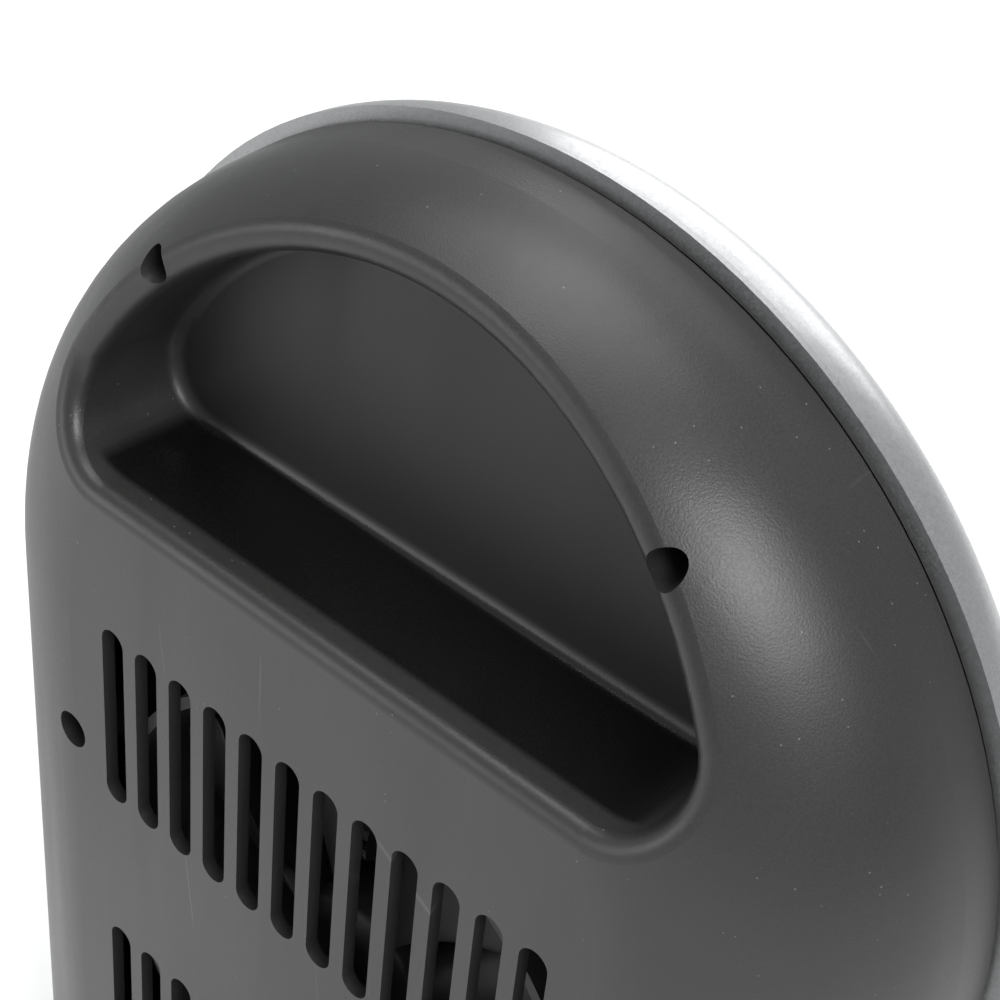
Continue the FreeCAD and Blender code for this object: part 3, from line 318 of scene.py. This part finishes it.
nodeFinish = {
    "casing_plastic": ["rear_casing", "base_plate"],
    "silver_paint": ["front_shell"],
    "black_plastic": ["front_grille", "thermostat_knob", "mode_switch_knob"],
    "rubber": ["rubber_feet", "cord_gland"],
    "screw_steel": ["base_screws", "casing_screws", "motor_screws", "element_screws"],
    "fan_plastic": ["fan_rotor"],
    "duct_plastic": ["fan_duct", "ptc_frame"],
    "steel": ["motor_shaft", "thermostat_spindle", "mode_switch_spindle"],
    "motor_steel": ["motor_armature", "motor_can", "motor_end_cap"],
    "ferrite": ["motor_magnets"],
    "bronze": ["motor_bushes"],
    "brass": ["ptc_terminals", "thermal_cutout"],
    "element_aluminium": ["ptc_bars", "ptc_fins"],
    "switch_plastic": ["thermostat_body", "mode_switch_body", "tip_switch_body", "tip_plunger",
                       "terminal_block"],
    "red_lens": ["indicator_lens"],
    "clear_lamp": ["indicator_lamp"],
    "lead_sleeve": ["element_leads"],
}
for finish, names in nodeFinish.items():
    for nodeName in names:
        part = nodes[nodeName]
        part.data.materials.clear()
        part.data.materials.append(finishes[finish])
print("finishes made:", len(finishes))


# Ring surfaces: rings[i, j] is point j of ring i. Each ring joins up on itself and to the next ring;
# the two ends are closed by a middle point, or the last ring joins the first.
def joinRings(rings, closed=False):
    count, around = rings.shape[:2]
    points = rings.reshape(-1, 3)
    index = np.arange(count * around).reshape(count, around)
    lower = index if closed else index[:-1]
    upper = np.roll(index, -1, axis=0) if closed else index[1:]
    quads = np.stack([lower, np.roll(lower, -1, axis=1), np.roll(upper, -1, axis=1), upper], axis=-1)
    quads = quads.reshape(-1, 4)
    caps = np.zeros((0, 3), int)
    if not closed:
        points = np.concatenate([points, rings[0].mean(0)[None], rings[-1].mean(0)[None]])
        first, last = index[0], index[-1]
        start = np.stack([np.roll(first, -1), first, np.full(around, count * around)], axis=-1)
        end = np.stack([last, np.roll(last, -1), np.full(around, count * around + 1)], axis=-1)
        caps = np.concatenate([start, end])
    corners = points[np.concatenate([quads[:, [0, 1, 2]], quads[:, [0, 2, 3]], caps])]
    volume = np.einsum("ij,ij->", corners[:, 0], np.cross(corners[:, 1], corners[:, 2]))
    if volume < 0:     # the rings run the other way, so the faces are turned to point outwards
        quads, caps = quads[:, ::-1], caps[:, ::-1]
    return points, quads, caps


def addPiece(name, surfaces, body, slotName, material=None, sharpAngle=35):
    points, faces, offset = [], [], 0
    for surface, quads, caps in surfaces:
        points.append(surface)
        faces += (quads + offset).tolist() + (caps + offset).tolist()
        offset += len(surface)
    mesh = bpy.data.meshes.new(name)
    mesh.from_pydata(np.concatenate(points).tolist(), [], faces)
    mesh.shade_smooth()
    mesh.set_sharp_from_angle(angle=math.radians(sharpAngle))
    mesh.materials.append(material or finishes[slotName])
    piece = bpy.data.objects.new(name, mesh)
    bpy.context.scene.collection.objects.link(piece)
    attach(piece, body)
    return piece


# A line of corners with every inner corner swept as a short curve: (1-t)^2 A + 2t(1-t) corner + t^2 B
def softCorners(corners, radius, steps=5):
    corners = np.asarray(corners, float)
    before, corner, after = corners[:-2], corners[1:-1], corners[2:]
    into, out = before - corner, after - corner
    lengthIn = np.linalg.norm(into, axis=1, keepdims=True)
    lengthOut = np.linalg.norm(out, axis=1, keepdims=True)
    reach = np.minimum(radius, 0.45 * np.minimum(lengthIn, lengthOut))
    start, end = corner + into / lengthIn * reach, corner + out / lengthOut * reach
    t = np.linspace(0, 1, steps)[None, :, None]
    curve = (1 - t) ** 2 * start[:, None] + 2 * t * (1 - t) * corner[:, None] + t ** 2 * end[:, None]
    return np.concatenate([corners[:1], curve.reshape(-1, 2), corners[-1:]])


axes = {"forward": ((1, 0, 0), (0, 0, 1), (0, -1, 0)),
        "backward": ((1, 0, 0), (0, 0, 1), (0, 1, 0)),
        "up": ((1, 0, 0), (0, 1, 0), (0, 0, 1)),
        "down": ((1, 0, 0), (0, 1, 0), (0, 0, -1))}


# Points at a radius, angle and height about an axis through a centre
def aboutAxis(centre, facing, radius, angle, height):
    side, across, along = (np.asarray(item, float) for item in axes[facing])
    return (np.asarray(centre, float) + (radius * np.cos(angle))[..., None] * side
            + (radius * np.sin(angle))[..., None] * across + height[..., None] * along)


# A profile of (radius, height) corners carried round an axis, with an optional ripple in the radius
def turned(centre, facing, corners, rounding, around=96, ripple=None, closed=False):
    profile = softCorners(corners, rounding)
    angle = np.linspace(0, 2 * math.pi, around, endpoint=False)[None, :]
    radius = profile[:, :1] + np.zeros_like(angle)
    height = profile[:, 1:] + np.zeros_like(angle)
    if ripple is not None:
        radius = radius + ripple(profile[:, :1], profile[:, 1:], angle)
    return joinRings(aboutAxis(centre, facing, radius, angle + np.zeros_like(radius), height), closed)


# A rounded bar: superellipse rings |x/a|^4 + |y/b|^4 = 1 stacked along the axis, drawn in at the top
def roundedBar(centre, facing, halfWidth, halfLength, low, high, turn=0.0, around=64, edge=0.6 * mm):
    angle = np.linspace(0, 2 * math.pi, around, endpoint=False)[None, :]
    level = np.linspace(0, math.pi / 2, 6)[:, None]
    inset = np.concatenate([[[0.0]], edge * (1 - np.cos(level))])
    height = np.concatenate([[[low]], high - edge + edge * np.sin(level)])
    x = np.sign(np.cos(angle)) * np.abs(np.cos(angle)) ** 0.5 * (halfWidth - inset)
    y = np.sign(np.sin(angle)) * np.abs(np.sin(angle)) ** 0.5 * (halfLength - inset)
    radius, direction = np.hypot(x, y), np.arctan2(y, x) + turn
    return joinRings(aboutAxis(centre, facing, radius, direction, height + np.zeros_like(radius)))


# Fan rotor: hub and cambered blades that sweep round and twist towards the tip
fanShape = {"blades": 7, "sweep": 0.38, "rootChord": 0.78, "tipChord": 0.72, "rootPitch": 0.92,
            "tipPitch": 0.62, "camber": 2.2 * mm, "thickness": 1.5 * mm, "hubRadius": 17 * mm}
fanLow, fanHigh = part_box("fan_rotor")
fanCentre = ((fanLow.x + fanHigh.x) / 2, 0.0, (fanLow.z + fanHigh.z) / 2)
fanRadius = (fanHigh.x - fanLow.x) / 2
fanBack, fanFront = fanHigh.y, fanLow.y


def fanBlade(turn):
    # a thin aerofoil ring at each radius: chord angle, pitch and thickness change with the radius
    span = np.linspace(0, 1, 22)[:, None]
    lap = np.linspace(0, 2 * math.pi, 40, endpoint=False)[None, :]
    chord = 0.5 - 0.5 * np.cos(lap)
    radius = fanShape["hubRadius"] * 0.94 + span * (fanRadius - 0.4 * mm - fanShape["hubRadius"] * 0.94)
    width = fanShape["rootChord"] + span * (fanShape["tipChord"] - fanShape["rootChord"])
    rounding = 1 - 0.5 * np.clip((span - 0.82) / 0.18, 0, 1) ** 2
    angle = turn + fanShape["sweep"] * span ** 1.3 + (chord - 0.5) * width * rounding
    depth = (fanBack - fanFront - 4 * mm) * (fanShape["rootPitch"] + span * (fanShape["tipPitch"]
                                                                              - fanShape["rootPitch"]))
    wall = fanShape["thickness"] * (1 - 0.45 * span) * np.sin(lap)
    height = (chord - 0.5) * depth * rounding + fanShape["camber"] * 4 * chord * (1 - chord) + wall / 2
    middle = (fanBack + fanFront) / 2 - 1 * mm
    centre = (fanCentre[0], middle, fanCentre[2])
    return joinRings(aboutAxis(centre, "backward", radius + np.zeros_like(lap), angle, height))


hubRadius = fanShape["hubRadius"]
hubTop = fanBack - fanFront
hubCorners = [(0.05 * mm, hubTop), (hubRadius * 0.30, hubTop), (hubRadius * 0.36, hubTop - 1 * mm),
              (hubRadius * 0.72, hubTop - 1.2 * mm), (hubRadius - 0.2 * mm, hubTop - 4 * mm),
              (hubRadius, 4 * mm), (hubRadius - 2 * mm, 4 * mm), (hubRadius - 2.2 * mm, hubTop - 5 * mm),
              (3.4 * mm, hubTop - 5 * mm), (3.2 * mm, 5 * mm), (1.7 * mm, 5 * mm),
              (1.68 * mm, hubTop - 3 * mm), (0.05 * mm, hubTop - 3 * mm)]
hubCentre = (fanCentre[0], fanFront, fanCentre[2])
bladeTurns = np.arange(fanShape["blades"]) * 2 * math.pi / fanShape["blades"]
rotorParts = [turned(hubCentre, "backward", hubCorners, 1.2 * mm)] + [fanBlade(turn) for turn in bladeTurns]
rotor = addPiece("fan_rotor_moulding", rotorParts, "fan", "fan_plastic")
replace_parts(rotor, "fan_rotor")
print("fan rotor made")


# Dials: a skirt, a fluted drum with a domed top, a grip bar and a pale pointer line
dialShape = {"skirtHeight": 3.2 * mm, "flutes": 36, "fluteDepth": 0.28 * mm, "drumInset": 2.6 * mm,
             "barHalfWidth": 3.2 * mm, "pointerHalfWidth": 0.55 * mm}


def makeDial(nodeName, body, restTurn):
    low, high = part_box(nodeName)
    radius = (high.x - low.x) / 2
    height = high.y - low.y
    drum = radius - dialShape["drumInset"]
    centre = ((low.x + high.x) / 2, high.y, (low.z + high.z) / 2)
    skirt = dialShape["skirtHeight"]

    def flutes(r, h, angle):
        onDrum = np.clip((h - skirt) / (0.6 * mm), 0, 1) * np.clip((height - 2.6 * mm - h) / (0.6 * mm), 0, 1)
        return dialShape["fluteDepth"] * onDrum * (np.cos(dialShape["flutes"] * angle) - 1) * (r > 0.8 * drum)

    corners = [(0.05 * mm, 0), (radius - 0.3 * mm, 0), (radius, 0.5 * mm),
               (radius - 0.3 * mm, skirt - 0.3 * mm), (drum + 0.5 * mm, skirt),
               (drum, skirt + 0.8 * mm), (drum - 0.2 * mm, height - 2.2 * mm),
               (drum * 0.6, height - 1.7 * mm), (0.05 * mm, height - 1.6 * mm)]
    parts = [turned(centre, "forward", corners, 0.8 * mm, around=288, ripple=flutes),
             roundedBar(centre, "forward", dialShape["barHalfWidth"], drum - 0.5 * mm, skirt, height,
                        restTurn)]
    dial = addPiece(nodeName + "_moulding", parts, body, "black_plastic")
    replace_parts(dial, nodeName)
    reach = drum * 0.34
    tip = (centre[0] - math.sin(restTurn) * (drum - 0.9 * mm - reach), centre[1],
           centre[2] + math.cos(restTurn) * (drum - 0.9 * mm - reach))
    addPiece(nodeName + "_pointer",
             [roundedBar(tip, "forward", dialShape["pointerHalfWidth"], reach, height - 1 * mm,
                         height + 0.12 * mm, restTurn, edge=0.1 * mm)], body, "black_plastic", markPaint)


makeDial("thermostat_knob", "thermostat_dial", 0.0)
makeDial("mode_switch_knob", "mode_dial", 0.0)


# Scale marks printed round each dial: short bars that grow towards the end of the travel
markShape = {"gap": 2.4 * mm, "halfWidth": 0.45 * mm, "halfLength": 1.3 * mm, "proud": 0.12 * mm}


def makeMarks(name, nodeName, turns):
    low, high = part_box(nodeName)
    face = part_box("front_grille")[0].y
    centreX, centreZ = (low.x + high.x) / 2, (low.z + high.z) / 2
    parts = []
    for step, turn in enumerate(turns):
        half = markShape["halfLength"] * (0.6 + 0.8 * step / max(1, len(turns) - 1))
        reach = (high.x - low.x) / 2 + markShape["gap"] + half
        spot = (centreX - math.sin(turn) * reach, face, centreZ + math.cos(turn) * reach)
        parts.append(roundedBar(spot, "forward", markShape["halfWidth"], half, -0.2 * mm, markShape["proud"],
                                turn, around=24, edge=0.06 * mm))
    addPiece(name, parts, "heater", "black_plastic", markPaint)


makeMarks("thermostat_marks", "thermostat_knob", np.radians(np.arange(0, 271, 27)))
makeMarks("mode_marks", "mode_switch_knob", np.radians([0, 45, 90, 135]))
print("dials and marks made")


# Cross-recessed screws: a domed head whose height drops inside a cross, on a threaded shank
screwShape = {"head": 3 * mm, "dome": 0.6 * mm, "crossHalf": 0.5 * mm, "crossReach": 1.8 * mm,
              "crossDepth": 1.3 * mm, "soft": 0.25 * mm, "threadPitch": 1.4 * mm, "threadDepth": 0.3 * mm,
              "shankRadius": 1.9 * mm, "casingHeadDepth": 2.6 * mm, "baseHeadDepth": 2.2 * mm}
casingScrewPlaces = {"top": (58 * mm, 277.6 * mm), "middle": (69.2 * mm, 168 * mm),
                     "low": (69.2 * mm, 38 * mm)}
baseScrewPlace = (66 * mm, 20 * mm)


def makeScrew(centre, facing, headDepth, shankRadius, length, turn):
    angle = np.linspace(0, 2 * math.pi, 72, endpoint=False)[None, :]
    reach = np.linspace(0.02, 1, 20)[:, None] * (screwShape["head"] - 0.3 * mm)
    x, y = reach * np.cos(angle + turn), reach * np.sin(angle + turn)
    arm = np.minimum(np.abs(x), np.abs(y))
    cross = (np.clip((screwShape["crossHalf"] - arm) / screwShape["soft"] + 0.5, 0, 1)
             * np.clip((screwShape["crossReach"] - reach) / screwShape["soft"], 0, 1))
    top = -screwShape["dome"] * (reach / screwShape["head"]) ** 2 - screwShape["crossDepth"] * cross
    edge = np.array([[screwShape["head"], -screwShape["dome"] - 0.4 * mm], [screwShape["head"], -headDepth],
                     [shankRadius, -headDepth - 0.05 * mm]])
    turns = (length - headDepth) / screwShape["threadPitch"]
    down = np.linspace(0, 1, int(turns * 6))[:, None]
    phase = 2 * math.pi * turns * down - angle
    shank = shankRadius - screwShape["threadDepth"] * (0.5 + 0.5 * np.cos(phase))
    radius = np.concatenate([reach + 0 * angle, edge[:, :1] + 0 * angle, shank])
    height = np.concatenate([top, edge[:, 1:] + 0 * angle,
                             -headDepth - 0.1 * mm - down * (length - headDepth - 0.1 * mm) + 0 * angle])
    return joinRings(aboutAxis(centre, facing, radius, angle + 0 * radius, height))


screwLow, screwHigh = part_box("casing_screws")
casingScrews = [makeScrew((side * x, screwHigh.y, z), "backward", screwShape["casingHeadDepth"],
                          screwShape["shankRadius"], screwHigh.y - screwLow.y, 0.4 * side + z * 9)
                for x, z in casingScrewPlaces.values() for side in (-1, 1)]
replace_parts(addPiece("casing_screw_set", casingScrews, "heater", "screw_steel"), "casing_screws")
screwLow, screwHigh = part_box("base_screws")
baseScrews = [makeScrew((side * baseScrewPlace[0], end * baseScrewPlace[1], screwLow.z), "down",
                        screwShape["baseHeadDepth"], screwShape["shankRadius"], screwHigh.z - screwLow.z,
                        0.5 * side + 0.3 * end)
              for side in (-1, 1) for end in (-1, 1)]
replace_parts(addPiece("base_screw_set", baseScrews, "heater", "screw_steel"), "base_screws")
print("screws made")


# Feet: soft-edged rubber buttons with rings pressed into the sole
footLow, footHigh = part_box("rubber_feet")
footShape = {"radius": 9 * mm, "grooveDepth": 0.6 * mm, "grooves": 3}
footTop = footHigh.z - footLow.z


def footSole():
    # a ring groove every step of the radius, as corners of the profile
    step = footShape["radius"] / (footShape["grooves"] + 1.5)
    corners = [(0.05 * mm, 0)]
    for groove in range(footShape["grooves"]):
        middle = step * (groove + 1)
        corners += [(middle - 0.5 * mm, 0), (middle - 0.3 * mm, footShape["grooveDepth"]),
                    (middle + 0.3 * mm, footShape["grooveDepth"]), (middle + 0.5 * mm, 0)]
    return corners + [(footShape["radius"] - 0.3 * mm, 0), (footShape["radius"], 0.8 * mm),
                      (footShape["radius"] - 0.2 * mm, footTop), (0.05 * mm, footTop)]


footX, footY = footHigh.x - footShape["radius"], footHigh.y - footShape["radius"]
feet = [turned((side * footX, end * footY, footLow.z), "up", footSole(), 0.5 * mm, around=72)
        for side in (-1, 1) for end in (-1, 1)]
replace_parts(addPiece("rubber_feet_set", feet, "heater", "rubber"), "rubber_feet")


# Cord gland: a flange, a waist that grips the casing wall and a clamp ring, with an open bore
glandLow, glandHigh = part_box("cord_gland")
glandShape = {"bore": 3.6 * mm, "flangeHeight": 2 * mm, "wall": 3 * mm, "ribs": 14, "ribDepth": 0.35 * mm}
glandRadius = (glandHigh.x - glandLow.x) / 2
glandCentre = ((glandLow.x + glandHigh.x) / 2, glandHigh.y, (glandLow.z + glandHigh.z) / 2)
glandLength = glandHigh.y - glandLow.y
waist = glandRadius - 2.6 * mm
clampTop = glandShape["flangeHeight"] + glandShape["wall"]


def glandRibs(r, h, angle):
    onFlange = (r > glandRadius - 0.6 * mm)
    return glandShape["ribDepth"] * onFlange * 0.5 * (np.cos(glandShape["ribs"] * angle) - 1)


glandCorners = [(glandShape["bore"], 0.0), (glandShape["bore"] + 1.2 * mm, 0.0),
                (glandRadius - 0.8 * mm, 0.5 * mm), (glandRadius, 1.0 * mm),
                (glandRadius, glandShape["flangeHeight"] - 0.05 * mm),
                (waist, glandShape["flangeHeight"] + 0.05 * mm), (waist, clampTop - 0.05 * mm),
                (glandRadius, clampTop + 0.05 * mm), (glandRadius, clampTop + 2.2 * mm),
                (waist, clampTop + 2.4 * mm), (waist, glandLength), (glandShape["bore"], glandLength)]
gland = addPiece("cord_gland_moulding",
                 [turned(glandCentre, "forward", glandCorners, 0.4 * mm, ripple=glandRibs, closed=True)],
                 "heater", "rubber")
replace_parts(gland, "cord_gland")
print("feet and gland made")


# Indicator lens: a low dome with a stepped rim
lensLow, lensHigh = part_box("indicator_lens")
lensRadius = (lensHigh.x - lensLow.x) / 2
lensLength = lensHigh.y - lensLow.y
lensCorners = [(0.05 * mm, 0), (lensRadius, 0), (lensRadius, lensLength - 1.4 * mm),
               (lensRadius * 0.86, lensLength - 0.6 * mm), (lensRadius * 0.5, lensLength - 0.1 * mm),
               (0.05 * mm, lensLength)]
lens = addPiece("indicator_lens_moulding",
                [turned(((lensLow.x + lensHigh.x) / 2, lensHigh.y, (lensLow.z + lensHigh.z) / 2), "forward",
                        lensCorners, 0.5 * mm, around=64)], "heater", "red_lens")
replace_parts(lens, "indicator_lens")


# Floor, light and camera
floorLook = {"colour": (0.93, 0.93, 0.925), "roughness": 0.7, "half": 4.0}
floorMaterial, floorTree, floorShader = startMaterial("studioFloor", floorLook["colour"],
                                                      floorLook["roughness"])
floorTone = blendColour(floorTree, noiseField(floorTree, 3, 2.0), scaled(floorLook["colour"], 0.99),
                        floorLook["colour"])
floorTree.links.new(floorTone, floorShader.inputs["Base Color"])
floorMesh = bpy.data.meshes.new("studio_floor")
half = floorLook["half"]
floorMesh.from_pydata([(-half, -half, 0), (half, -half, 0), (half, half, 0), (-half, half, 0)], [],
                      [(0, 1, 2, 3)])
floorMesh.materials.append(floorMaterial)
floor = bpy.data.objects.new("studio_floor", floorMesh)
bpy.context.scene.collection.objects.link(floor)

world = bpy.data.worlds.new("studioSky")
world.use_nodes = True
world.node_tree.nodes["Background"].inputs["Color"].default_value = (0.96, 0.98, 1.0, 1.0)
world.node_tree.nodes["Background"].inputs["Strength"].default_value = 0.5
bpy.context.scene.world = world

lamps = {
    "keyPanel": {"place": (-0.75, 0.3, 0.95), "size": 0.45, "power": 8.0},
    "topPanel": {"place": (0.2, -0.1, 1.3), "size": 0.8, "power": 7.0},
    "farPanel": {"place": (0.7, 0.9, 0.5), "size": 0.6, "power": 3.0},
    "frontPanel": {"place": (0.3, -1.1, 0.7), "size": 0.9, "power": 8.0},
}
lampTarget = Vector((0.0, 0.0, 0.2))
for lampName, lampSetting in lamps.items():
    light = bpy.data.lights.new(lampName, "AREA")
    light.size = lampSetting["size"]
    light.energy = lampSetting["power"]
    lamp = bpy.data.objects.new(lampName, light)
    lamp.location = lampSetting["place"]
    lamp.rotation_euler = (lampTarget - lamp.location).to_track_quat("-Z", "Y").to_euler()
    bpy.context.scene.collection.objects.link(lamp)

cameraView = {"place": (-0.18408, 0.22917, 0.45208), "aim": (-0.03101, 0.03842, 0.27835), "rollDegrees": 6.35,
              "lens": 71.18}
camera = bpy.data.objects.new("viewCamera", bpy.data.cameras.new("viewCamera"))
camera.data.lens = cameraView["lens"]
camera.data.sensor_width = 36
camera.data.clip_start = 0.01
camera.location = cameraView["place"]
looking = (Vector(cameraView["aim"]) - camera.location).to_track_quat("-Z", "Y")
roll = Quaternion((0, 0, 1), math.radians(cameraView["rollDegrees"]))
camera.rotation_euler = (looking @ roll).to_euler()
bpy.context.scene.collection.objects.link(camera)
bpy.context.scene.camera = camera
bpy.context.scene.view_settings.view_transform = "Standard"
print("stage made")
